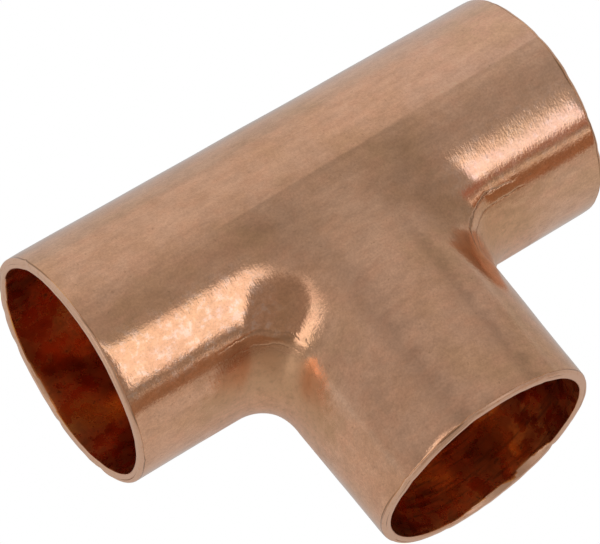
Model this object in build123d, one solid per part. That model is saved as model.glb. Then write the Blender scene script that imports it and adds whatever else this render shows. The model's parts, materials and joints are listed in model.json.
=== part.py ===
from build123d import *
import os

# End-feed (capillary solder) equal tee for 22 mm copper tube.
# The whole fitting is one piece of copper tube whose branch is bulged out of the wall.
# Origin: the point where the run axis and the branch axis cross.
# The run lies along X, the branch leaves along -Y, Z is up. Millimetres.

# ---- sockets -----------------------------------------------------------------
tube_diameter = 22.0          # outside diameter of the tube the fitting takes
solder_gap = 0.05             # capillary gap left all round the tube
socket_radius = tube_diameter / 2 + solder_gap
socket_depth = 16.0           # from a mouth to the tube stop
stop_ledge = 0.5              # radial height of the tube stop

# ---- shell -------------------------------------------------------------------
socket_wall = 1.05            # wall beside a fitted tube
run_outer_radius = socket_radius + socket_wall
branch_taper = 0.07           # the branch outside narrows by this much towards its mouth
branch_root_radius = run_outer_radius - 0.04
branch_mouth_radius = branch_root_radius - branch_taper
body_bore_radius = socket_radius - stop_ledge
body_wall = run_outer_radius - body_bore_radius

# ---- lengths -----------------------------------------------------------------
run_half_length = 27.6        # branch axis to either run mouth
branch_length = 29.4          # run axis to the branch mouth

# ---- edges -------------------------------------------------------------------
crotch_radius = 4.5           # outside blend between run and branch
crotch_radius_inside = crotch_radius + body_wall
mouth_rounding = 0.5          # outer edge of each mouth
lead_in = 0.15                # inner edge of each mouth

# The branch bore is a hair under the run bore, so the two meet in one clean edge.
branch_bore_radius = body_bore_radius - 0.05


def along_run(shape):
    """Turn a shape built along Z so that it lies along X."""
    return Rot(0, 90, 0) * shape


def towards_branch(shape):
    """Turn a shape built along Z so that its +Z end points to -Y."""
    return Rot(90, 0, 0) * shape


def blend_saddle(tee, radius):
    """Round the one curved edge where the branch leaves the run."""
    saddle = [e for e in tee.edges() if e.geom_type not in (GeomType.LINE, GeomType.CIRCLE)]
    return fillet(saddle, radius)


def outer_body():
    """The outside of the fitting as a solid."""
    run = along_run(Cylinder(run_outer_radius, 2 * run_half_length))
    branch = Cone(branch_root_radius, branch_mouth_radius, branch_length)
    branch = towards_branch(Pos(0, 0, branch_length / 2) * branch)
    return blend_saddle(run + branch, crotch_radius)


def waterway():
    """The inside of the body as a solid, before the sockets are sized."""
    run = along_run(Cylinder(body_bore_radius, 2 * run_half_length))
    branch = Cylinder(branch_bore_radius, branch_length)
    branch = towards_branch(Pos(0, 0, branch_length / 2) * branch)
    return blend_saddle(run + branch, crotch_radius_inside)


def socket_cutters():
    """The three sized sockets, each open at its mouth and flat at the tube stop."""
    cutter = Cylinder(socket_radius, socket_depth)
    run_centre = run_half_length - socket_depth / 2
    branch_centre = branch_length - socket_depth / 2
    left = Pos(-run_centre, 0, 0) * along_run(cutter)
    right = Pos(run_centre, 0, 0) * along_run(cutter)
    front = Pos(0, -branch_centre, 0) * towards_branch(cutter)
    return [left, right, front]


def mouth_edges(body, radius):
    """The circular edges of a given radius that lie in the three mouth planes."""
    found = []
    for edge in body.edges().filter_by(GeomType.CIRCLE):
        centre = edge.arc_center
        at_run_mouth = abs(abs(centre.X) - run_half_length) < 0.01
        at_branch_mouth = abs(centre.Y + branch_length) < 0.01
        if (at_run_mouth or at_branch_mouth) and abs(edge.radius - radius) < 0.02:
            found.append(edge)
    return found


def tee_body():
    """The complete one-piece fitting."""
    body = outer_body() - waterway()
    for cutter in socket_cutters():
        body = body - cutter
    outer_edges = mouth_edges(body, run_outer_radius) + mouth_edges(body, branch_mouth_radius)
    body = fillet(outer_edges, mouth_rounding)
    return chamfer(mouth_edges(body, socket_radius), lead_in)


os.makedirs("parts", exist_ok=True)
export_step(tee_body(), "parts/tee_body.step")
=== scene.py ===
import json
import math

import bmesh
import bpy
import numpy as np
from mathutils import Matrix, Vector


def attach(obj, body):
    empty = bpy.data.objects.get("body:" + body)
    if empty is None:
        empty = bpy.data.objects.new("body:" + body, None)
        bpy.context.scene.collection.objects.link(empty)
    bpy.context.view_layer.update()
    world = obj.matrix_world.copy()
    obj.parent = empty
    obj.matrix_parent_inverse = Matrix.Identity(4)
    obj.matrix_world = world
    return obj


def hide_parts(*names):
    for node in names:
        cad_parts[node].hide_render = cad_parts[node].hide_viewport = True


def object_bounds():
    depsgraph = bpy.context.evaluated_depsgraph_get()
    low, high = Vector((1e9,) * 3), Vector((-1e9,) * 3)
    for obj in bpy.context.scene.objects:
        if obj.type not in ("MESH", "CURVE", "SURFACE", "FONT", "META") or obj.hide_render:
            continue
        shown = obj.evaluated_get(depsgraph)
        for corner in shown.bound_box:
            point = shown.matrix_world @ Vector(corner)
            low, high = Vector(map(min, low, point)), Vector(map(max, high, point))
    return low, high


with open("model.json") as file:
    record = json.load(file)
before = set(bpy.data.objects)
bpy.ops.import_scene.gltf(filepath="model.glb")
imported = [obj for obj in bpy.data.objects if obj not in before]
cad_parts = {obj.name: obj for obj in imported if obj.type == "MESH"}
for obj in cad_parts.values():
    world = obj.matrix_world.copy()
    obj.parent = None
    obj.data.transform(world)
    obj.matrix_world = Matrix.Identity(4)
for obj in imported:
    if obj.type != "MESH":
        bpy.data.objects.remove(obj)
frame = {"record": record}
cad_low, cad_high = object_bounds()

# ---- sizes -------------------------------------------------------------------
# Lengths are in millimetres here and turned into metres when a mesh is made.
MM = 0.001
mounts = {mount["name"]: mount for mount in frame["record"]["mounts"]}
OUTER_R = -cad_low.z / MM
RUN_HALF = cad_high.x / MM
BRANCH_END = -cad_low.y / MM
SOCKET_R = mounts["run_socket_left"]["dims"]["r_mm"]
SOCKET_DEPTH = mounts["run_socket_left"]["dims"]["length_mm"]
BODY_BORE_R = 10.55
CROTCH_R = 4.5                  # outside blend radius in the crotch
REACH = OUTER_R + CROTCH_R      # both axes to the centre of the blend's rolling ball, in the crotch
BLEND_SPREAD = 0.4              # 1 keeps the ball's size, less makes it grow towards the ridges
CROTCH_COSINES = (0.70, 0.95)   # cosines from the crotch between which the ball settles to its size
BRANCH_SWELL = 0.019            # share the branch outside is fuller by where it leaves the blend
SWELL_BESIDE_RUN = (0, 5)       # how far past the diagonal the swell grows
SWELL_DOWN_BRANCH = (3, 13)     # how far from the run axis the swell grows
SWELL_FALLS_FROM = 1.1          # in outside radii from the run axis
RUN_STOP = RUN_HALF - SOCKET_DEPTH
BRANCH_STOP = BRANCH_END - SOCKET_DEPTH
STOP_RAMP = 0.35                # length over which a socket narrows to the body bore
STOP_MARGIN = 3 * STOP_RAMP     # least length between a stop and the diagonal
STOP_ROUND = 0.12               # rounding where the body's inner blend runs into a socket
BRANCH_NARROWING = 0.006        # share the branch outside shrinks by at its mouth
MOUTH_ROUND = 0.40              # rounded outer edge of a mouth
LEAD_IN = 0.2                   # broken inner edge of a mouth

# ---- unevenness --------------------------------------------------------------
MOUTH_WEAR_DEPTH = 1.6          # how far from a mouth its unevenness reaches
MOUTH_SETBACK = 0.10
MOST_SETBACK = 1.5              # in MOUTH_SETBACKs
EDGE_CHATTER = 0.010
NICK_DEPTH = 0.13
NICK_COUNT = 9
NICK_WIDTHS = (0.02, 0.06)      # radians
NICK_DEPTHS = (0.3, 1.0)        # as shares of NICK_DEPTH
NICK_INSIDE = 0.25              # share of a nick's depth that is left at the bore
GROOVE_RADIUS = 11.66
GROOVE_WANDER = 0.06
GROOVE_DEPTH = 0.12
GROOVE_WIDTH = 0.05
LIP_DEPTH = 0.03
LIP_WIDTH = 0.09
OUTER_EDGE_WEAR = 0.06
INNER_EDGE_WEAR = 0.06
# How wear varies round a mouth: mean, swing, and the fewest and most waves in one turn.
SETBACK_VARIES = (0.5, 0.5, 2, 7)
CHATTER_VARIES = (0.0, 1.0, 10, 50)
OUTER_WEAR_VARIES = (0.4, 0.6, 2, 14)
INNER_WEAR_VARIES = (0.2, 0.8, 1, 6)
GROOVE_WANDERS = (0.0, 1.0, 2, 6)
GROOVE_VARIES = (0.5, 0.7, 2, 12)
LIP_WANDERS = (0.9, 0.25, 2, 8)
LIP_VARIES = (0.5, 0.65, 2, 14)
# Strokes of a deburring blade: (middle and half width in degrees round the axis, depth along it,
# share deeper towards the end at the larger angle).
LEFT_STROKES = ((-66, 16, 0.34, 0.0), (-2, 12, 0.30, 0.0), (100, 25, 0.4, 0.0))
RIGHT_STROKES = ((35, 22, 0.5, 0.0), (-110, 30, 0.4, 0.0))
BRANCH_STROKES = ((-48, 13, 0.62, -0.45), (-81, 17, 0.44, 0.5), (60, 9, 0.4, 0.0))
DENTS = ((6.0, 0.010), (2.2, 0.0020))           # (size, height) outside
BORE_DENTS = ((6.0, 0.02), (2.0, 0.004))        # (size, height) inside
DENT_WAVES = 28
DENT_PITCHES = (0.6, 1.6)       # waves against the stated size
WAVE_SHARES = (0.3, 1.0)        # how much one wave adds to the noise round a circle
LEFT_SEED, RIGHT_SEED, BRANCH_SEED, DENT_SEED = 11, 22, 33, 100

# ---- mesh density ------------------------------------------------------------
LINE_POINTS = 1201              # in a front line before it is resampled
AROUND = 96                     # steps in each half turn
LIP_STEPS = 5
LIP_REACH = 0.4                 # mm behind a mouth's round with finer steps
OUTSIDE_STEPS = 52              # steps from a mouth to the diagonal, outside
SOCKET_STEPS = 24
BEVEL_REACH = 0.8               # mm behind a mouth's lead-in with finer steps
BEVEL_STEPS = 6
RAMP_STEPS = 5
BODY_STEPS = 22
ROUND_STEPS = 8
FACE_STEPS = 12
LEAD_STEPS = 3

# ---- zones of the surface, which the material tells apart --------------------
OUTSIDE, BORE, RIM = 0, 1, 2


# ---- shape -------------------------------------------------------------------
def smooth_step(value):
    t = np.clip(value, 0.0, 1.0)
    return t * t * (3 - 2 * t)


def ramp(value, start, end):
    """0 before start, 1 after end and a smooth step between."""
    return smooth_step((value - start) / (end - start))


def smooth_max(a, b, width):
    """The larger of a and b, with the corner between them rounded off."""
    t = np.clip(0.5 + 0.5 * (a - b) / width, 0, 1)
    return b * (1 - t) + a * t + width * t * (1 - t)


def blend_contact(c):
    """How far along either axis the blend ends, given the cosine of the angle from the crotch."""
    spread = BLEND_SPREAD + (1 - BLEND_SPREAD) * ramp(c, *CROTCH_COSINES)
    return REACH * max(c, 0.0) ** spread


def front_line(theta, radius, run_start, branch_start):
    """A line on the front of the tee, from the left mouth round the crotch to the branch mouth.

    theta is the angle round either axis: 0 in the crotch, +-90 degrees on the top and bottom ridge.
    Returns the points and the index of the one on the diagonal between run and branch.
    """
    c, s = math.cos(theta), math.sin(theta)
    contact = blend_contact(c)
    on_run = np.array([-contact, -radius * c, radius * s])
    on_branch = np.array([-radius * c, -contact, radius * s])
    half = LINE_POINTS // 2
    if c < 1e-6:
        bend = np.repeat(on_run[None], half, axis=0)
    else:
        reach = contact / c
        centre = np.array([-contact, -contact, reach * s])
        a, b = on_run - centre, on_branch - centre
        angle = 2 * math.asin(np.linalg.norm(a - b) / (2 * np.linalg.norm(a)))
        arc = np.linspace(0, angle, half)[:, None]
        bend = centre + (np.sin(angle - arc) * a + np.sin(arc) * b) / math.sin(angle)
    run = np.linspace([-run_start, -radius * c, radius * s], on_run, half)
    branch = np.linspace(on_branch, [-radius * c, -branch_start, radius * s], half)
    return np.vstack([run, bend[1:], branch[1:]]), half + (half - 1) // 2


def lengths(points):
    """Distance along a polyline to each of its points."""
    gaps = np.linalg.norm(np.diff(points, axis=0), axis=1)
    return np.concatenate([[0], np.cumsum(gaps)])


def resample(points, cuts, steps):
    """Points along a polyline: steps[i] even steps between lengths cuts[i] and cuts[i + 1]."""
    wanted = [np.linspace(cuts[i], cuts[i + 1], n, endpoint=False) for i, n in enumerate(steps)]
    wanted = np.concatenate(wanted + [[cuts[-1]]])
    length = lengths(points)
    return np.stack([np.interp(wanted, length, points[:, k]) for k in range(3)], axis=1)


def outer_line(theta):
    """Outside points from just behind the left mouth's round to the same place on the branch."""
    run_start, branch_start = RUN_HALF - MOUTH_ROUND, BRANCH_END - MOUTH_ROUND
    points, middle = front_line(theta, OUTER_R, run_start, branch_start)
    total = lengths(points)
    cuts = [0, LIP_REACH, total[middle], total[-1] - LIP_REACH, total[-1]]
    long_steps = OUTSIDE_STEPS - LIP_STEPS
    line = resample(points, cuts, [LIP_STEPS, long_steps, long_steps, LIP_STEPS])
    girth = branch_girth(-line[:, 1], -line[:, 0], branch_start)
    line[:, 0] *= girth
    line[:, 2] *= girth
    return line


def branch_girth(along, aside, end):
    """Factor on the branch's outside radius: fuller at its root, a little narrow at its mouth.

    along is the distance down the branch and aside the distance along the run.
    """
    rise = ramp(along - aside, *SWELL_BESIDE_RUN) * ramp(along, *SWELL_DOWN_BRANCH)
    start = SWELL_FALLS_FROM * OUTER_R
    fall = np.clip((along - start) / (end - start), 0, 1)
    return 1 + rise * (BRANCH_SWELL - (BRANCH_SWELL + BRANCH_NARROWING) * fall)


def socket_radius_at(depth_from_stop):
    """The bore's radius, given how far outside the tube stop a point is."""
    return BODY_BORE_R + (SOCKET_R - BODY_BORE_R) * ramp(depth_from_stop, -STOP_RAMP / 2, STOP_RAMP / 2)


def inner_line(theta):
    """Inside points from behind the left mouth's lead-in to the same place in the branch."""
    run_start, branch_start = RUN_HALF - LEAD_IN, BRANCH_END - LEAD_IN
    points, middle = front_line(theta, BODY_BORE_R, run_start, branch_start)
    total = lengths(points)
    at_middle = total[middle]
    run_stop = np.interp(-RUN_STOP, points[:, 0], total)
    branch_stop = total[-1] - np.interp(-BRANCH_STOP, points[::-1, 1], total[-1] - total[::-1])
    ramp_in = min(run_stop - STOP_RAMP, at_middle - STOP_MARGIN)
    ramp_out = ramp_in + 2 * STOP_RAMP
    ramp_back_out = max(branch_stop + STOP_RAMP, at_middle + STOP_MARGIN)
    ramp_back_in = ramp_back_out - 2 * STOP_RAMP
    cuts = [0, BEVEL_REACH, ramp_in, ramp_out, at_middle,
            ramp_back_in, ramp_back_out, total[-1] - BEVEL_REACH, total[-1]]
    steps = [BEVEL_STEPS, SOCKET_STEPS - BEVEL_STEPS, RAMP_STEPS, BODY_STEPS,
             BODY_STEPS, RAMP_STEPS, SOCKET_STEPS - BEVEL_STEPS, BEVEL_STEPS]
    line = resample(points, cuts, steps)
    split = SOCKET_STEPS + RAMP_STEPS + BODY_STEPS
    run, branch = line[:split + 1], line[split + 1:]
    widen(run, 0, RUN_STOP)
    widen(branch, 1, BRANCH_STOP)
    return line


def widen(points, axis, stop):
    """Push bore points out to the socket wall where they lie beyond the tube stop."""
    across = [k for k in range(3) if k != axis]
    radius = np.linalg.norm(points[:, across], axis=1)
    wall = socket_radius_at(np.abs(points[:, axis]) - stop)
    wanted = np.where(wall > BODY_BORE_R + 1e-6, smooth_max(radius, wall, STOP_ROUND), radius)
    points[:, across] *= (np.maximum(wanted, radius) / radius)[:, None]


def back_line(ridge, angle):
    """The ridge line of a front half swept to the back of the run, and mirrored to the right."""
    half = ridge[:len(ridge) // 2 + 1]
    radius = half[:, 2]
    left = np.stack([half[:, 0], radius * math.sin(angle), radius * math.cos(angle)], axis=1)
    right = left[::-1][1:] * [-1, 1, 1]
    return np.vstack([left, right])


def rim_profile():
    """(distance behind the mouth plane, radius) from the outside to the bore."""
    rounding = np.linspace(0, math.pi / 2, ROUND_STEPS + 1)
    outer = [(MOUTH_ROUND * (1 - math.sin(t)), OUTER_R - MOUTH_ROUND * (1 - math.cos(t))) for t in rounding]
    face_in, face_out = SOCKET_R + LEAD_IN, OUTER_R - MOUTH_ROUND
    flat = [(0.0, face_out + (face_in - face_out) * k / FACE_STEPS) for k in range(1, FACE_STEPS + 1)]
    lead = [(LEAD_IN * k / LEAD_STEPS, face_in - LEAD_IN * math.sin(math.pi / 2 * k / LEAD_STEPS))
            for k in range(1, LEAD_STEPS + 1)]
    return outer + flat + lead


# ---- wear --------------------------------------------------------------------
def ripple(angle, seed, lowest, highest):
    """Smooth noise round a circle, about -1 to 1, from whole numbers of waves."""
    rng = np.random.default_rng(seed)
    total = np.zeros_like(angle)
    weight = 0.0
    for turns in range(lowest, highest + 1):
        share = rng.uniform(*WAVE_SHARES) / math.sqrt(turns)
        total += share * np.sin(turns * angle + rng.uniform(0, 2 * math.pi))
        weight += share ** 2
    return total / math.sqrt(weight)


def varied(angle, seed, rule):
    """Noise round a circle that follows one of the rules (mean, swing, fewest waves, most waves)."""
    mean, swing, lowest, highest = rule
    return mean + swing * ripple(angle, seed, lowest, highest)


def bump_at(offset, width):
    """1 where offset is 0, falling off smoothly over width."""
    return np.exp(-(offset / width) ** 2)


def nicks(angle, seed):
    """Small dents at random places round a circle, each 0 to 1 deep."""
    rng = np.random.default_rng(seed)
    total = np.zeros_like(angle)
    for _ in range(NICK_COUNT):
        place = rng.uniform(-math.pi, math.pi)
        width = rng.uniform(*NICK_WIDTHS)
        depth = rng.uniform(*NICK_DEPTHS)
        apart = np.angle(np.exp(1j * (angle - place)))
        total = np.maximum(total, depth * bump_at(apart, width))
    return total


def blade_strokes(angle, strokes):
    """How deep a deburring blade cut the inner edge."""
    total = np.zeros_like(angle)
    for middle, half_width, depth, lean in strokes:
        apart = np.angle(np.exp(1j * (angle - math.radians(middle)))) / math.radians(half_width)
        reach = depth * (1 + lean * np.clip(apart, -1, 1))
        total = np.maximum(total, reach * np.sqrt(np.clip(1 - np.abs(apart) ** 3, 0, 1)))
    return total


def cut_bevels(u, v, depth, strokes):
    """Points round a mouth after the deburring blade, and which of them it cut."""
    reach = blade_strokes(np.arctan2(v, u), strokes) + 1e-6
    bevel = SOCKET_R + LEAD_IN * (1 - depth / reach)
    radius = np.hypot(u, v)
    cut = (bevel > radius) & (depth < reach)
    wider = np.where(cut, bevel / radius, 1)
    return u * wider, v * wider, cut


def rim_lines(angle, radius, depth, seed):
    """The fine lines round a rim, 0 to 1 each: a groove in its face and a lip at its round."""
    groove_at = GROOVE_RADIUS + GROOVE_WANDER * varied(angle, seed + 5, GROOVE_WANDERS)
    groove = np.clip(varied(angle, seed + 6, GROOVE_VARIES), 0, 1) * (depth < MOUTH_ROUND)
    groove = groove * bump_at(radius - groove_at, GROOVE_WIDTH)
    lip_at = MOUTH_ROUND * varied(angle, seed + 7, LIP_WANDERS)
    lip = np.clip(varied(angle, seed + 8, LIP_VARIES), 0, 1) * (radius > OUTER_R - MOUTH_ROUND)
    return groove, lip * bump_at(depth - lip_at, LIP_WIDTH)


def wear_mouth(points, zones, marks, axis, side, end, seed, strokes):
    """Make one mouth's cut edge uneven, as a sawn, deburred and tumbled tube end is.

    zones is set to RIM where the blade cut, and marks collects how much painted shade darkens the fine
    lines round the rim, 0 to 1.
    """
    across = [k for k in range(3) if k != axis]
    depth = end - side * points[:, axis]
    near = depth < MOUTH_WEAR_DEPTH
    depth = depth[near]
    u, v, cut = cut_bevels(points[near, across[0]], points[near, across[1]], depth, strokes)
    zones[near] = np.where(cut, RIM, zones[near])
    radius, angle = np.hypot(u, v), np.arctan2(u, v)
    fade = smooth_step(1 - depth / MOUTH_WEAR_DEPTH)
    outside = ramp(radius, SOCKET_R, OUTER_R)
    groove, lip = rim_lines(angle, radius, depth, seed)
    marks[near] = np.maximum(groove, lip)
    setback = MOUTH_SETBACK * np.clip(varied(angle, seed, SETBACK_VARIES), 0, MOST_SETBACK)
    setback += EDGE_CHATTER * varied(angle, seed + 1, CHATTER_VARIES)
    setback += NICK_DEPTH * nicks(angle, seed + 2) * (NICK_INSIDE + (1 - NICK_INSIDE) * outside)
    setback += GROOVE_DEPTH * groove
    worn = OUTER_EDGE_WEAR * varied(angle, seed + 3, OUTER_WEAR_VARIES) * outside
    burr = INNER_EDGE_WEAR * varied(angle, seed + 4, INNER_WEAR_VARIES) * (1 - outside)
    factor = 1 + (burr - worn - LIP_DEPTH * lip) * fade ** 2 / radius
    points[near, axis] -= side * setback * fade
    points[near, across[0]] = u * factor
    points[near, across[1]] = v * factor


def dents(points, seed, size):
    """Smooth noise through space, about -1 to 1, whose features are size mm across."""
    rng = np.random.default_rng(seed)
    total = np.zeros(len(points))
    for _ in range(DENT_WAVES):
        way = rng.normal(size=3)
        way *= rng.uniform(*DENT_PITCHES) * math.pi / (size * np.linalg.norm(way))
        total += np.sin(points @ way + rng.uniform(0, 2 * math.pi))
    return total * math.sqrt(2 / DENT_WAVES)


# ---- mesh --------------------------------------------------------------------
class Surface:
    """Collects grids of points into one mesh and joins the grids where they meet."""

    def __init__(self):
        self.points = []
        self.faces = []
        self.zones = []
        self.count = 0

    def add(self, grid, zone, flip=False):
        rows, columns = grid.shape[:2]
        number = self.count + np.arange(rows * columns).reshape(rows, columns)
        a, b = number[:-1, :-1], number[:-1, 1:]
        c, d = number[1:, 1:], number[1:, :-1]
        corners = [a, d, c, b] if flip else [a, b, c, d]
        self.faces.append(np.stack(corners, axis=-1).reshape(-1, 4))
        self.points.append(grid.reshape(-1, 3))
        self.zones.append(np.full(rows * columns, zone))
        self.count += rows * columns

    def joined(self, tolerance=1e-4):
        """Points, faces and zones with coincident points merged and collapsed faces dropped."""
        points = np.vstack(self.points)
        faces = np.vstack(self.faces)
        zones = np.concatenate(self.zones)
        key = np.round(points / tolerance).astype(np.int64)
        _, first, inverse = np.unique(key, axis=0, return_index=True, return_inverse=True)
        inverse = inverse.ravel()
        faces = inverse[faces]
        clean = []
        for face in faces:
            ring = [int(face[k]) for k in range(4) if face[k] != face[k - 1]]
            if len(ring) > 2:
                clean.append(ring)
        return points[first], clean, zones[first]


def tee_surface():
    """The whole skin of the fitting: outside, inside and three rims."""
    surface = Surface()
    angles = np.linspace(-math.pi / 2, math.pi / 2, AROUND + 1)
    for make, zone, flip in ((outer_line, OUTSIDE, False), (inner_line, BORE, True)):
        left = np.stack([make(t) for t in angles])
        surface.add(left, zone, flip)
        surface.add(left * [-1, 1, 1], zone, not flip)
        ridge = left[-1]
        round_back = np.linspace(0, math.pi, AROUND + 1)
        back = np.stack([back_line(ridge, t) for t in round_back])
        surface.add(back, zone, flip)
    profile = rim_profile()
    turn = np.linspace(0, 2 * math.pi, 2 * AROUND + 1)
    run_rim = np.array([[(RUN_HALF - depth, r * math.sin(t), r * math.cos(t)) for t in turn]
                        for depth, r in profile])
    surface.add(run_rim, RIM)
    surface.add(run_rim * [-1, 1, 1], RIM, True)
    outside = np.array([ramp(r, SOCKET_R, OUTER_R) for _, r in profile])
    scale = 1 - BRANCH_NARROWING * outside
    branch_rim = np.array([[(r * k * math.sin(t), -(BRANCH_END - depth), r * k * math.cos(t)) for t in turn]
                           for (depth, r), k in zip(profile, scale)])
    surface.add(branch_rim, RIM)
    return surface.joined()


def mesh_with_outward_normals(points, faces):
    mesh = bpy.data.meshes.new("tee_body_copper")
    mesh.from_pydata((points * MM).tolist(), [], faces)
    mesh.update()
    bm = bmesh.new()
    bm.from_mesh(mesh)
    bmesh.ops.recalc_face_normals(bm, faces=bm.faces)
    bm.to_mesh(mesh)
    bm.free()
    return mesh


def make_tee():
    points, faces, zones = tee_surface()
    marks = np.zeros(len(points))
    wear_mouth(points, zones, marks, 0, -1, RUN_HALF, LEFT_SEED, LEFT_STROKES)
    wear_mouth(points, zones, marks, 0, 1, RUN_HALF, RIGHT_SEED, RIGHT_STROKES)
    wear_mouth(points, zones, marks, 1, -1, BRANCH_END, BRANCH_SEED, BRANCH_STROKES)
    mesh = mesh_with_outward_normals(points, faces)
    normals = np.empty(len(points) * 3)
    mesh.vertices.foreach_get("normal", normals)
    height = np.zeros(len(points))
    for zone, sizes in ((OUTSIDE, DENTS), (BORE, BORE_DENTS)):
        here = zones == zone
        for number, (size, high) in enumerate(sizes):
            height[here] += high * dents(points[here], DENT_SEED + 10 * zone + number, size)
    points = points + normals.reshape(-1, 3) * height[:, None]
    mesh.vertices.foreach_set("co", (points * MM).ravel())
    mesh.update()
    mesh.polygons.foreach_set("use_smooth", [True] * len(mesh.polygons))
    for name, values in (("zone", zones), ("marks", marks)):
        attribute = mesh.attributes.new(name, "FLOAT", "POINT")
        attribute.data.foreach_set("value", values.astype(np.float32))
    tee = bpy.data.objects.new("tee_body_copper", mesh)
    bpy.context.scene.collection.objects.link(tee)
    return tee


# ---- camera ------------------------------------------------------------------
VIEW_AZIMUTH = -43.70           # degrees, from -Y towards +X
VIEW_ELEVATION = 58.94          # degrees
VIEW_ROLL = 9.00                # degrees
VIEW_DISTANCE = 319.4           # mm
VIEW_TARGET = (-2.72, -3.13, 0.0)               # mm
FOCAL_IN_WIDTHS = 5.516         # focal length against the sensor's width
SENSOR = 36.0                   # mm
CLIP = (0.01, 20)               # metres


def make_camera():
    azimuth, elevation = math.radians(VIEW_AZIMUTH), math.radians(VIEW_ELEVATION)
    back = Vector((math.sin(azimuth) * math.cos(elevation),
                   -math.cos(azimuth) * math.cos(elevation),
                   math.sin(elevation)))
    data = bpy.data.cameras.new("camera")
    data.sensor_width = SENSOR
    data.lens = SENSOR * FOCAL_IN_WIDTHS
    data.clip_start, data.clip_end = CLIP
    camera = bpy.data.objects.new("camera", data)
    bpy.context.scene.collection.objects.link(camera)
    right = (-back).cross(Vector((0, 0, 1))).normalized()
    up = right.cross(-back)
    roll = math.radians(VIEW_ROLL)
    up_rolled = up * math.cos(roll) - right * math.sin(roll)
    right_rolled = right * math.cos(roll) + up * math.sin(roll)
    turn = Matrix((right_rolled, up_rolled, back)).transposed()
    place = Vector(VIEW_TARGET) + back * VIEW_DISTANCE
    camera.matrix_world = Matrix.Translation(place * MM) @ turn.to_4x4()
    bpy.context.scene.camera = camera


# ---- node helpers ------------------------------------------------------------
class Nodes:
    """Short ways to add shader nodes to one tree and join them up."""

    def __init__(self, tree):
        self.tree = tree

    def new(self, kind, **settings):
        node = self.tree.nodes.new(kind)
        for name, value in settings.items():
            setattr(node, name, value)
        return node

    def feed(self, socket, value):
        if isinstance(value, bpy.types.NodeSocket):
            self.tree.links.new(value, socket)
        elif hasattr(socket.default_value, "__len__") and not hasattr(value, "__len__"):
            socket.default_value = [value] * len(socket.default_value)
        elif hasattr(value, "__len__") and len(value) == 3 and len(socket.default_value) == 4:
            socket.default_value = (*value, 1)
        else:
            socket.default_value = value

    def maths(self, operation, *values):
        node = self.new("ShaderNodeMath", operation=operation)
        for socket, value in zip(node.inputs, values):
            self.feed(socket, value)
        return node.outputs[0]

    def add(self, a, b):
        return self.maths("ADD", a, b)

    def subtract(self, a, b):
        return self.maths("SUBTRACT", a, b)

    def multiply(self, first, *others):
        for other in others:
            first = self.maths("MULTIPLY", first, other)
        return first

    def size_of(self, value):
        return self.maths("ABSOLUTE", value)

    def fade(self, value, start, end, low=0.0, high=1.0):
        """low before start, high after end and a smooth step between; start may be the larger."""
        if start > end:
            start, end, low, high = end, start, high, low
        node = self.new("ShaderNodeMapRange", interpolation_type="SMOOTHSTEP")
        for socket, given in zip(node.inputs, (value, start, end, low, high)):
            self.feed(socket, given)
        return node.outputs[0]

    def blend(self, share, a, b):
        """The colour a where share is 0 and b where it is 1."""
        node = self.new("ShaderNodeMix", data_type="RGBA")
        self.feed(node.inputs["Factor"], share)
        self.feed(node.inputs[6], a)
        self.feed(node.inputs[7], b)
        return node.outputs[2]

    def between(self, share, a, b):
        """The number a where share is 0 and b where it is 1."""
        node = self.new("ShaderNodeMix", data_type="FLOAT")
        self.feed(node.inputs["Factor"], share)
        self.feed(node.inputs[2], a)
        self.feed(node.inputs[3], b)
        return node.outputs[0]

    def pack(self, numbers):
        """Three numbers as one vector."""
        node = self.new("ShaderNodeCombineXYZ")
        for socket, number in zip(node.inputs, numbers):
            self.feed(socket, number)
        return node.outputs[0]

    def tint(self, colour, by):
        """The colour multiplied by another colour or by a number."""
        if isinstance(by, bpy.types.NodeSocket) and by.type == "VALUE":
            by = self.pack((by, by, by))
        node = self.new("ShaderNodeMix", data_type="RGBA", blend_type="MULTIPLY")
        self.feed(node.inputs["Factor"], 1.0)
        self.feed(node.inputs[6], colour)
        self.feed(node.inputs[7], by)
        return node.outputs[2]

    def distance(self, offsets):
        """The length of a vector given as three numbers."""
        node = self.new("ShaderNodeVectorMath", operation="LENGTH")
        self.feed(node.inputs[0], self.pack(offsets))
        return node.outputs["Value"]

    def parts(self, vector):
        node = self.new("ShaderNodeSeparateXYZ")
        self.feed(node.inputs[0], vector)
        return node.outputs

    def stretch(self, vector, scale):
        node = self.new("ShaderNodeVectorMath", operation="MULTIPLY")
        self.feed(node.inputs[0], vector)
        self.feed(node.inputs[1], scale)
        return node.outputs[0]


# ---- copper: colours ---------------------------------------------------------
CLEAN_COPPER = (0.95, 0.53, 0.33)
TARNISH = (0.85, 0.45, 0.26)
OLIVE = (0.85, 0.465, 0.25)
SPECK = (0.50, 0.27, 0.15)
RUBBED = (1.0, 0.66, 0.50)
BLUSH = (0.97, 0.50, 0.30)
CROTCH_DULL = (0.76, 0.44, 0.24)
BORE_COPPER = (0.97, 0.37, 0.12)
# painted light: brighter orange patches standing in for light inside the bores
BORE_PAINTED_GLOW = (1.0, 0.48, 0.13)
BORE_STAIN = (0.53, 0.175, 0.05)
BORE_DARK = (0.28, 0.115, 0.042)
CUT_COPPER = (0.93, 0.57, 0.385)
# Dark brown for real dirt in the crotches, and for painted shade in the creases and the rim's fine lines
# and a painted shadow in the left crotch.
DIRT_AND_SHADE = (0.32, 0.17, 0.09)
# Tints: each multiplies the skin's colour.
STRETCHED = (0.88, 0.88, 0.88)
SADDLE_STAIN = (0.82, 0.835, 0.825)
PINK_BACK = (1.04, 1.08, 1.16)
PINK_FRONT = (1.0, 1.05, 1.09)
DULL_BACK = (0.94, 0.94, 0.93)

# ---- copper: noise -----------------------------------------------------------
MOST_NOISE = (0.3, 0.7)         # most of a noise lies between these
BLOTCH_NOISE = (0.35, 0.65)
SPECK_NOISE = (0.60, 0.75)
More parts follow.
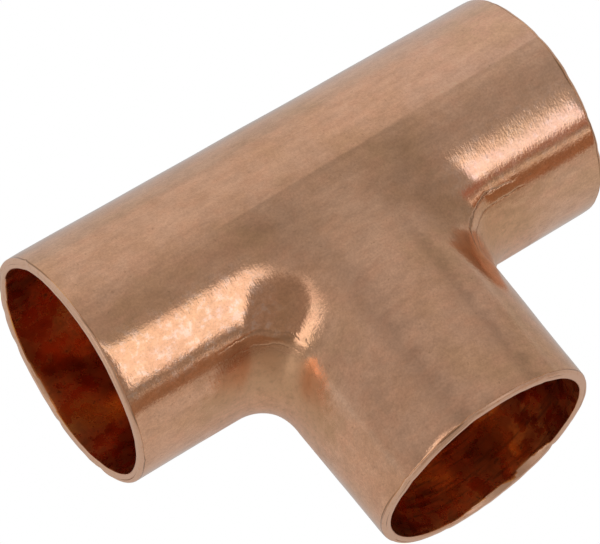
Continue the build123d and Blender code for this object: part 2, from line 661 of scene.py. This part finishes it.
# Feature size in mm, detail, roughness, and scale along each axis, where less than 1 draws it out.
NOISES = {
    "mottle": (5.0, 5, 0.65, (1, 1, 1)),
    "cloud": (11.0, 3, 0.50, (1, 1, 1)),
    "blush": (1.9, 4, 0.60, (0.7, 1, 1)),
    "smudge": (1.1, 4, 0.60, (0.6, 1, 1)),
    "patches": (0.9, 4, 0.70, (1, 1, 1)),
    "spots": (0.50, 3, 0.75, (1, 1, 1)),
    "grain": (0.24, 2, 0.70, (1, 1, 1)),
    "drawn": (0.5, 3, 0.70, (0.04, 1, 1)),
    "hair": (0.20, 1, 0.50, (1, 0.35, 0.35)),
    "dirt": (0.75, 4, 0.70, (1, 1, 1)),
    "scuffs": (0.35, 3, 0.70, (1, 1, 1)),
    "bore_patch": (7.0, 2, 0.50, (1, 1, 1)),
    "bore_glow": (4.2, 3, 0.55, (0.6, 1, 1)),
    "blotch": (1.6, 5, 0.65, (1, 1, 1)),
    "dots": (0.8, 3, 0.60, (1, 1, 1)),
    "drag": (0.55, 3, 0.60, (0.12, 1, 0.12)),
}
# Layers, from the bottom up: noise, its values where a layer leaves off and is full, share, colour.
SKIN_LAYERS = (("mottle", 0.40, 0.66, 0.80, TARNISH),
               ("cloud", 0.48, 0.66, 0.70, OLIVE),
               ("blush", 0.45, 0.68, 0.65, BLUSH),
               ("spots", 0.62, 0.76, 0.62, SPECK))
RUBBED_LAYERS = (("patches", 0.50, 0.62, 0.75, RUBBED),
                 ("patches", 0.50, 0.40, 0.80, TARNISH))
CROTCH_LAYERS = (("dirt", 0.45, 0.75, 0.30, DIRT_AND_SHADE),)
# In the bores, the high end of bore_glow lays painted light as brighter patches; its low end lays darker
# patches.
BORE_LAYERS = (("bore_patch", 0.42, 0.58, 1.00, BORE_STAIN),
               ("bore_glow", 0.52, 0.62, 1.00, BORE_PAINTED_GLOW),
               ("bore_glow", 0.48, 0.36, 0.60, BORE_DARK),
               ("blotch", 0.50, 0.68, 0.65, BORE_STAIN),
               ("dots", 0.64, 0.74, 0.80, BORE_DARK))
BRANCH_BORE_LAYERS = (("drag", 0.50, 0.68, 0.70, BORE_DARK),)
CUT_LAYERS = (("scuffs", 0.52, 0.70, 0.75, TARNISH),)
# Unevenness in the skin's tone: noise, its low and high end, and the factors there.
TONES = (("grain", 0.25, 0.75, 0.885, 1.06),
         ("drawn", 0.3, 0.7, 0.965, 1.035),
         ("smudge", 0.3, 0.7, 0.92, 1.06))
# What shapes the fine relief: noise and share of BUMP.
SKIN_RELIEF = (("hair", 0.55), ("grain", 0.45), ("spots", -0.5), ("drawn", 0.15))
CREASE_RELIEF = -3.0
BLOTCH_RELIEF = 1.65
BUMP = 0.0115                   # mm

# ---- copper: roughness -------------------------------------------------------
SKIN_ROUGHNESS = (0.10, 0.15)
SPECK_ROUGHNESS = 0.12          # added to the skin's
CROTCH_ROUGHNESS = 0.34
BORE_ROUGHNESS = (0.20, 0.36)
RIM_ROUGHNESS = 0.39

# ---- copper: places ----------------------------------------------------------
# In mm, in the part's frame. A pair is where something leaves off and where it is full.
ZONE_MARGIN = 0.2               # how far short of the next zone's number a zone turns into it
BRANCH_BORE_Y = (-11, -13)
WANDER = 0.35                   # how far straight lines on the skin stray
RUBBED_X, RUBBED_Y, RUBBED_Z = (9, 13), (-3, -6), (6.8, 8)
RUBBED_SIDES = (1.0, 0.4)       # strength on the left and on the right
STREAKS_Y = (-6, -12)
BRANCH_STREAKS_AND_HIGHLIGHT = ((-4.2, 1.8, 0.15), (3.9, 1.3, 0.18), (-8.6, 1.4, 0.04), (7.4, 1.2, 0.05),
                  (0.2, 3.6, -0.09))            # (middle, half width, share darker); the last, brighter one along the branch's top is a painted highlight
# The straight edge along the top, at y = EDGE_Y + EDGE_SLOPE * x, with a painted highlight line and a
# painted shade line along it.
EDGE_Y = -0.18
EDGE_SLOPE = 0.021
EDGE_SOFT = 0.13
ON_TOP_Z = (9, 11)
EDGE_PAINTED_HIGHLIGHT = (0.16, 0.22, 0.05)                # painted highlight line: (offset, half width, share brighter)
EDGE_PAINTED_SHADE = (-0.22, 0.45, 0.07)                 # painted shade line: (offset, half width, share darker)
SADDLE_X, SADDLE_Z = (14, 8), (0, 6)
SADDLE_STAIN_Y = (-14, -6)
STAIN_WANDER = 3                # in WANDERs
CLEAN_SPOT = (-10.8, -9.0)      # (x, y) beside the left crotch that stays clear of the saddle's stain
CLEAN_SPOT_REACH = (4.0, 7.5)
RIGHT_X, LEFT_BACK_X = (6, 22), (8, 0)
CROTCH_MIDDLE = 13.5            # along both axes
CROTCH_FLATTEN = 0.9            # less than 1 makes the dull patch taller
CROTCH_REACH, CROTCH_Z = (9.5, 5.5), (7.5, 5.5)
CROTCH_WANDER = 1.2
DULL_Z, DULL_SHARES, DULL_SIDES = (0.0, 3.5), (0.20, 0.75), (1.0, 0.45)
CREASES = ((7.75, 0.16, 1.0), (6.7, 0.14, 0.7))  # (height, half width, depth)
CREASE_REACH, CREASE_Y = (6.2, 4.6), (-14.6, -12.8)
CREASE_WANDER = 0.4             # in WANDERs
CREASE_SIDES = (0.40, 1.0)
# how much painted shade darkens the creases
CREASE_SHADE = 0.65
SHADOW_BELOW, SHADOW_ABOVE, SHADOW_SIDES = (5.2, 6.2), (7.7, 7.3), (0.30, 0.0)
SIDES_X = (-1, 1)               # between these the left side turns into the right
MARKS_SHADE = (0.25, 0.8, 0.8)   # where painted shade in the rim's lines begins, where it is full, and its share


class Copper(Nodes):
    """Drawn copper: satin and speckled outside with some painted highlight, shade and shadow, oxidised in
    the bores with painted glow, cut bright at the mouths.
    """

    def __init__(self, tree):
        super().__init__(tree)
        self.place = self.new("ShaderNodeTexCoord").outputs["Object"]
        self.x, self.y, self.z = self.parts(self.place)
        self.made = {}
        zone = self.attribute("zone")
        self.rim = self.fade(zone, BORE + ZONE_MARGIN, RIM - ZONE_MARGIN)
        not_outside = self.fade(zone, OUTSIDE + ZONE_MARGIN, BORE - ZONE_MARGIN)
        self.bore = self.multiply(not_outside, self.subtract(1.0, self.rim))
        self.in_branch = self.span(self.y, BRANCH_BORE_Y)
        self.wander = self.fade(self.noise("smudge"), *MOST_NOISE, -WANDER * MM, WANDER * MM)
        self.from_crotch_x = self.subtract(self.size_of(self.x), CROTCH_MIDDLE * MM)
        self.from_crotch_y = self.add(self.y, CROTCH_MIDDLE * MM)
        self.crotch = self.crotch_mask()
        self.level = self.add(self.z, self.multiply(self.wander, CREASE_WANDER))
        in_crotch = self.span(self.distance((self.from_crotch_x, self.from_crotch_y, 0.0)), CREASE_REACH)
        self.corner = self.multiply(in_crotch, self.span(self.y, CREASE_Y))
        self.crease = self.crease_mask()

    def attribute(self, name):
        return self.new("ShaderNodeAttribute", attribute_name=name).outputs["Fac"]

    def noise(self, name):
        """One of the NOISES, smooth and from 0 to 1."""
        if name not in self.made:
            size, detail, roughness, scale = NOISES[name]
            node = self.new("ShaderNodeTexNoise")
            self.feed(node.inputs["Vector"], self.stretch(self.place, scale))
            self.feed(node.inputs["Scale"], 1 / (size * MM))
            self.feed(node.inputs["Detail"], detail)
            self.feed(node.inputs["Roughness"], roughness)
            self.made[name] = node.outputs["Fac"]
        return self.made[name]

    def span(self, value, pair, low=0.0, high=1.0):
        """A fade between two places given in mm."""
        return self.fade(value, pair[0] * MM, pair[1] * MM, low, high)

    def line(self, value, middle, half_width, strength):
        """strength where value is at middle, fading to nothing half_width away, in mm."""
        off = self.size_of(self.subtract(value, middle * MM))
        return self.span(off, (half_width, 0.0), 0.0, strength)

    def sides(self, values):
        """One number on the left of the fitting and another on the right."""
        return self.span(self.x, SIDES_X, *values)

    def layers(self, colour, rows, where=1.0):
        for name, off, full, share, top in rows:
            cover = self.fade(self.noise(name), off, full, 0.0, share)
            colour = self.blend(self.multiply(cover, where), colour, top)
        return colour

    def crotch_mask(self):
        """The dull patch in each of the two crotches."""
        height = self.multiply(self.z, CROTCH_FLATTEN)
        apart = self.distance((self.from_crotch_x, self.from_crotch_y, height))
        stray = self.fade(self.noise("smudge"), *MOST_NOISE, -CROTCH_WANDER * MM, CROTCH_WANDER * MM)
        return self.multiply(self.span(self.add(apart, stray), CROTCH_REACH), self.span(self.z, CROTCH_Z))

    def crease_mask(self):
        """Fine creases in the crotches, level with the edge of the forming die: their relief, and where
        painted shade darkens them.
        """
        crease = 0.0
        for height, half_width, depth in CREASES:
            crease = self.add(self.line(self.level, height, half_width, depth), crease)
        return self.multiply(crease, self.corner, self.sides(CREASE_SIDES))

    def skin(self):
        """The outside before what forming did to it: tarnish, specks, rubbed patches and streaks, with a
        painted highlight streak along the top of the branch.
        """
        skin = self.layers(CLEAN_COPPER, SKIN_LAYERS)
        rubbed = self.multiply(self.span(self.size_of(self.x), RUBBED_X), self.span(self.y, RUBBED_Y),
                               self.span(self.z, RUBBED_Z), self.sides(RUBBED_SIDES))
        skin = self.layers(skin, RUBBED_LAYERS, rubbed)
        tone = 1.0
        for name, start, end, low, high in TONES:
            tone = self.multiply(self.fade(self.noise(name), start, end, low, high), tone)
        down_branch = self.span(self.y, STREAKS_Y)
        strayed = self.add(self.x, self.wander)
        # darker streaks down the branch, and a brighter painted highlight along its top
        for middle, half_width, depth in BRANCH_STREAKS_AND_HIGHLIGHT:
            streak = self.multiply(self.line(strayed, middle, half_width, depth), down_branch)
            tone = self.multiply(tone, self.subtract(1.0, streak))
        return self.tint(skin, tone)

    def formed(self, skin):
        """The skin with a painted highlight and shade line along the straight edge on the top, and the
        stretched metal in front of it.
        """
        edge = self.subtract(self.subtract(self.y, EDGE_Y * MM), self.multiply(self.x, EDGE_SLOPE))
        front = self.span(edge, (EDGE_SOFT, -EDGE_SOFT))
        behind = self.subtract(1.0, front)
        # a painted highlight line and a painted shade line along the edge, on top only
        step = self.subtract(self.line(edge, *EDGE_PAINTED_HIGHLIGHT), self.line(edge, *EDGE_PAINTED_SHADE))
        skin = self.tint(skin, self.add(1.0, self.multiply(step, self.span(self.z, ON_TOP_Z))))

        spot_x, spot_y = CLEAN_SPOT
        apart = self.distance((self.subtract(self.x, spot_x * MM), self.subtract(self.y, spot_y * MM), 0.0))
        saddle = self.multiply(self.span(self.size_of(self.x), SADDLE_X), self.span(self.z, SADDLE_Z),
                               self.span(apart, CLEAN_SPOT_REACH), front)
        along = self.add(self.y, self.multiply(self.wander, STAIN_WANDER))
        stain = self.blend(self.span(along, SADDLE_STAIN_Y), STRETCHED, SADDLE_STAIN)
        skin = self.blend(saddle, skin, self.tint(skin, stain))

        to_right = self.span(self.x, RIGHT_X)
        left_back = self.multiply(self.span(self.x, LEFT_BACK_X), behind)
        skin = self.blend(self.multiply(to_right, behind), skin, self.tint(skin, PINK_BACK))
        skin = self.blend(self.multiply(to_right, front), skin, self.tint(skin, PINK_FRONT))
        return self.blend(left_back, skin, self.tint(skin, DULL_BACK))

    def crotches(self, skin):
        """The skin with dull metal and caught dirt in the two crotches, painted shade along their fine
        creases and a painted shadow band in the left one.
        """
        dull = self.multiply(self.crotch, self.span(self.z, DULL_Z, *DULL_SHARES), self.sides(DULL_SIDES))
        skin = self.blend(dull, skin, CROTCH_DULL)
        skin = self.layers(skin, CROTCH_LAYERS, self.crotch)
        # painted shade along the creases
        skin = self.blend(self.multiply(self.crease, CREASE_SHADE), skin, DIRT_AND_SHADE)
        # a painted shadow band beside the creases in the left crotch
        shadow = self.multiply(self.span(self.level, SHADOW_BELOW), self.span(self.level, SHADOW_ABOVE),
                               self.corner, self.sides(SHADOW_SIDES))
        return self.blend(shadow, skin, DIRT_AND_SHADE)

    def colour(self):
        inside = self.layers(BORE_COPPER, BORE_LAYERS)
        inside = self.layers(inside, BRANCH_BORE_LAYERS, self.in_branch)
        colour = self.blend(self.bore, self.crotches(self.formed(self.skin())), inside)
        colour = self.blend(self.rim, colour, self.layers(CUT_COPPER, CUT_LAYERS))
        # painted shade in the fine lines round the rims
        start, full, share = MARKS_SHADE
        return self.blend(self.fade(self.attribute("marks"), start, full, 0.0, share), colour, DIRT_AND_SHADE)

    def roughness(self):
        rough = self.fade(self.noise("mottle"), *MOST_NOISE, *SKIN_ROUGHNESS)
        rough = self.add(rough, self.fade(self.noise("spots"), *SPECK_NOISE, 0.0, SPECK_ROUGHNESS))
        rough = self.between(self.crotch, rough, CROTCH_ROUGHNESS)
        inside = self.fade(self.noise("blotch"), *BLOTCH_NOISE, *BORE_ROUGHNESS)
        rough = self.between(self.bore, rough, inside)
        return self.between(self.rim, rough, RIM_ROUGHNESS)

    def normal(self):
        height = self.multiply(self.crease, CREASE_RELIEF)
        for name, share in SKIN_RELIEF:
            height = self.add(self.multiply(self.noise(name), share), height)
        blotches = self.multiply(self.noise("blotch"), BLOTCH_RELIEF)
        inside = self.add(blotches, self.multiply(self.noise("drag"), self.in_branch))
        node = self.new("ShaderNodeBump")
        self.feed(node.inputs["Strength"], 1.0)
        self.feed(node.inputs["Distance"], BUMP * MM)
        self.feed(node.inputs["Height"], self.between(self.bore, height, inside))
        return node.outputs[0]


def copper_material():
    material = bpy.data.materials.new("copper")
    material.use_nodes = True
    copper = Copper(material.node_tree)
    shader = material.node_tree.nodes["Principled BSDF"]
    shader.inputs["Metallic"].default_value = 1.0
    copper.feed(shader.inputs["Base Color"], copper.colour())
    copper.feed(shader.inputs["Roughness"], copper.roughness())
    copper.feed(shader.inputs["Normal"], copper.normal())
    return material


# ---- studio ------------------------------------------------------------------
# Directions seen from the tee, in degrees: polar is counted from straight up, azimuth from -Y
# towards +X. A pair is where something leaves off and where it is full.
ROOM = (0.36, 0.355, 0.35)
BACK_WALL = (0.585, 0.60, 0.62)
BACK_WALL_Y = (-0.05, 0.75)             # of a direction's length
RIGHT_LOW = (0.31, 0.30, 0.28)
RIGHT_LOW_AZIMUTHS = (20, 75, 12)       # (left, right, softness)
RIGHT_LOW_POLAR = (60, 72)

# An upright edge in the studio: azimuth high up, azimuth low down, and the polar angles it turns between.
DARK_LEFT = (-97, -69, 33, 78)
DARK_RIGHT = (20, 16.5, 38, 50)
LEFT_PANEL = (-106, -88, 30, 84)
FRONT_PANEL = (42, 36.5, 28, 50)

# A crown, the rounded top of a shape: middle azimuth, half width, polar angle and how it drops.
DARK_CROWN = (-40.5, 55.7, 13.0, 5.0, 10.0)
PANEL_CROWN = (-36.0, 78.0, 11.0, 8.0, 11.0)

# How soft edges are.
DARK_LEFT_SOFT, DARK_RIGHT_SOFT, DARK_CROWN_SOFT = 9, 4, 2.4
LEFT_PANEL_SOFT, FRONT_PANEL_SOFT, PANEL_CROWN_SOFT = 4, 6, 3

# Two soft lights that meet at one azimuth. A step of strength: polar from, to, and strength there.
PANEL = (1.21, 1.21, 1.21)
PANEL_COOL = (1.21, 1.27, 1.52)         # the same light towards its far right
COOL_POLAR, COOL_AZIMUTH = (44, 52), (26, 30)
PANELS_MEET = (-40, -36)
LEFT_PANEL_FOOT = (90, 86)
LEFT_STRENGTH = ((14, 24, 0.30, 0.57), (28, 52, 0.0, 0.43))
FRONT_STRENGTH = ((12, 22, 0.28, 0.70), (27, 33, 0.0, 0.30))

DARK_SIDE = (0.295, 0.265, 0.24)

# The foot of the wall, and the lines along it from the top down.
FOOT_SLOPE = 0.31                       # degrees of polar that its top rises per degree of azimuth
FOOT_TOP = (70.5, 73.9)
FOOT_AZIMUTHS = (-75, 62, 4)            # (left, right, softness)
FOOT_POLAR = (62, 64)
SKIRTING = (0.275, 0.255, 0.23)
SKIRTING_RIGHT = (0.335, 0.185, 0.145)
SKIRTING_RIGHT_AZIMUTH, SKIRTING_RIGHT_POLAR = (22, 27), (72, 68)
SKIRTING_LINE = (0.90, 0.84, 0.80)
SKIRTING_LINE_POLAR, SKIRTING_LINE_END = (71.0, 75.4), (77.0, 76.2)
SKIRTING_LINE_AZIMUTH = (21.5, 26.5, 0.0, 0.70)     # (from, to, strength there)
THIN_LINE = (1.30, 1.22, 1.16)
THIN_LINE_POLAR, THIN_LINE_END = (74.6, 75.4), (76.7, 75.9)
THIN_LINE_AZIMUTH = (17.0, 20.5, 0.15, 0.75)        # (from, to, strength there)
LOW_LEFT = (0.28, 0.19, 0.13)
LOW_RIGHT = (0.285, 0.16, 0.095)
LOW_AZIMUTH, LOW_POLAR = (19, 25), (76.2, 78.0)


class Studio(Nodes):
    """Shapes on the inside of a sphere round the tee, from the azimuth and polar angle of a ray."""

    def __init__(self, tree):
        super().__init__(tree)
        direction = self.new("ShaderNodeTexCoord").outputs["Generated"]
        x, self.y, z = self.parts(direction)
        turn = self.maths("ARCTAN2", x, self.multiply(self.y, -1))
        self.azimuth = self.multiply(turn, 180 / math.pi)
        self.polar = self.multiply(self.maths("ARCCOSINE", z), 180 / math.pi)
        self.foot = self.add(self.polar, self.multiply(self.azimuth, FOOT_SLOPE))

    def right_of(self, edge, soft):
        past = self.subtract(self.azimuth, self.fade(self.polar, edge[2], edge[3], edge[0], edge[1]))
        return self.fade(past, -soft / 2, soft / 2)

    def left_of(self, edge, soft):
        return self.subtract(1.0, self.right_of(edge, soft))

    def azimuths(self, left, right, soft):
        return self.multiply(self.fade(self.azimuth, left - soft / 2, left + soft / 2),
                             self.fade(self.azimuth, right + soft / 2, right - soft / 2))

    def below_crown(self, crown, soft):
        middle, half_width, top, square, fourth = crown
        off = self.multiply(self.subtract(self.azimuth, middle), 1 / half_width)
        off = self.multiply(off, off)
        drop = self.add(self.multiply(off, square), self.multiply(self.multiply(off, off), fourth))
        return self.fade(self.subtract(self.polar, self.add(drop, top)), -soft / 2, soft / 2)

    def strength(self, steps):
        return self.add(*[self.fade(self.polar, *step) for step in steps])

    def room(self):
        light = self.blend(self.fade(self.y, *BACK_WALL_Y), ROOM, BACK_WALL)
        right_low = self.multiply(self.azimuths(*RIGHT_LOW_AZIMUTHS),
                                  self.fade(self.polar, *RIGHT_LOW_POLAR))
        return self.blend(right_low, light, RIGHT_LOW)

    def panels(self, light):
        """Two soft lights, fainter towards their tops."""
        crown = self.below_crown(PANEL_CROWN, PANEL_CROWN_SOFT)
        from_meeting = self.fade(self.azimuth, *PANELS_MEET)
        to_meeting = self.fade(self.azimuth, *reversed(PANELS_MEET))
        left = self.multiply(self.right_of(LEFT_PANEL, LEFT_PANEL_SOFT), to_meeting, crown,
                             self.fade(self.polar, *LEFT_PANEL_FOOT))
        light = self.blend(self.multiply(left, self.strength(LEFT_STRENGTH)), light, PANEL)
        front = self.multiply(self.left_of(FRONT_PANEL, FRONT_PANEL_SOFT), from_meeting, crown,
                              self.fade(self.foot, *reversed(FOOT_TOP)))
        cool = self.multiply(self.fade(self.polar, *COOL_POLAR), self.fade(self.azimuth, *COOL_AZIMUTH))
        colour = self.blend(cool, PANEL, PANEL_COOL)
        return self.blend(self.multiply(front, self.strength(FRONT_STRENGTH)), light, colour)

    def dark_side(self, light):
        """The dark side of the room between the two lights."""
        dark = self.multiply(self.right_of(DARK_LEFT, DARK_LEFT_SOFT),
                             self.left_of(DARK_RIGHT, DARK_RIGHT_SOFT),
                             self.below_crown(DARK_CROWN, DARK_CROWN_SOFT))
        return self.blend(dark, light, DARK_SIDE)

    def wall_foot(self, light):
        """The foot of the wall, with one thin bright line and a dark edge at the floor."""
        azimuth, polar = self.azimuth, self.polar
        foot = self.multiply(self.azimuths(*FOOT_AZIMUTHS), self.fade(self.foot, *FOOT_TOP),
                             self.fade(polar, *FOOT_POLAR))
        to_right = self.multiply(self.fade(azimuth, *SKIRTING_RIGHT_AZIMUTH),
                                 self.fade(polar, *SKIRTING_RIGHT_POLAR))
        light = self.blend(foot, light, self.blend(to_right, SKIRTING, SKIRTING_RIGHT))
        for colour, top, end, strength in (
                (SKIRTING_LINE, SKIRTING_LINE_POLAR, SKIRTING_LINE_END, SKIRTING_LINE_AZIMUTH),
                (THIN_LINE, THIN_LINE_POLAR, THIN_LINE_END, THIN_LINE_AZIMUTH)):
            line = self.multiply(self.fade(polar, *top), self.fade(polar, *end),
                                 self.fade(azimuth, *strength), foot)
            light = self.blend(line, light, colour)
        low = self.blend(self.fade(azimuth, *LOW_AZIMUTH), LOW_LEFT, LOW_RIGHT)
        return self.blend(self.multiply(self.fade(polar, *LOW_POLAR), foot), light, low)


def make_world():
    world = bpy.data.worlds.new("studio")
    bpy.context.scene.world = world
    world.use_nodes = True
    studio = Studio(world.node_tree)
    light = studio.wall_foot(studio.dark_side(studio.panels(studio.room())))
    studio.feed(world.node_tree.nodes["Background"].inputs["Color"], light)


# ---- floor -------------------------------------------------------------------
FLOOR_HALF = 3.0                        # metres
FLOOR_WHITE = (1.0, 1.0, 1.0)
FLOOR_NEAR = (0.51, 0.51, 0.51)
FLOOR_FAR = (0.48, 0.465, 0.45)
FLOOR_FAR_REACH = (95, 145)             # mm from the tee
FLOOR_BACK = (0.53, 0.57, 0.60)
FLOOR_BACK_Y = (-20, 60)                # mm


def floor_material():
    """White to the camera. The copper sees it dimmer further out, as under one soft light."""
    material = bpy.data.materials.new("floor")
    material.use_nodes = True
    nodes = Nodes(material.node_tree)
    material.node_tree.nodes.remove(material.node_tree.nodes["Principled BSDF"])
    place = nodes.new("ShaderNodeNewGeometry").outputs["Position"]
    x, y, z = nodes.parts(place)
    near, far = FLOOR_FAR_REACH
    seen = nodes.blend(nodes.fade(nodes.distance((x, y, z)), near * MM, far * MM), FLOOR_NEAR, FLOOR_FAR)
    front, back = FLOOR_BACK_Y
    seen = nodes.blend(nodes.fade(y, front * MM, back * MM), seen, FLOOR_BACK)
    camera_ray = nodes.new("ShaderNodeLightPath").outputs["Is Camera Ray"]
    glow = nodes.new("ShaderNodeEmission")
    nodes.feed(glow.inputs["Color"], nodes.blend(camera_ray, seen, FLOOR_WHITE))
    output = material.node_tree.nodes["Material Output"]
    material.node_tree.links.new(glow.outputs[0], output.inputs["Surface"])
    return material


def make_floor(tee):
    """A plain floor under the lowest point of the tee."""
    level = min(corner[2] for corner in tee.bound_box)
    corners = [(-1, -1), (1, -1), (1, 1), (-1, 1)]
    mesh = bpy.data.meshes.new("floor")
    mesh.from_pydata([(x * FLOOR_HALF, y * FLOOR_HALF, level) for x, y in corners], [], [(0, 1, 2, 3)])
    mesh.materials.append(floor_material())
    floor = bpy.data.objects.new("floor", mesh)
    bpy.context.scene.collection.objects.link(floor)


# ---- build -------------------------------------------------------------------
BOUNCES = 24

tee = make_tee()
tee.data.materials.append(copper_material())
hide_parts("tee_body")
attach(tee, "root")

make_world()
make_floor(tee)
make_camera()
bpy.context.scene.view_settings.view_transform = "Standard"
bpy.context.scene.cycles.max_bounces = BOUNCES
bpy.context.scene.cycles.glossy_bounces = BOUNCES
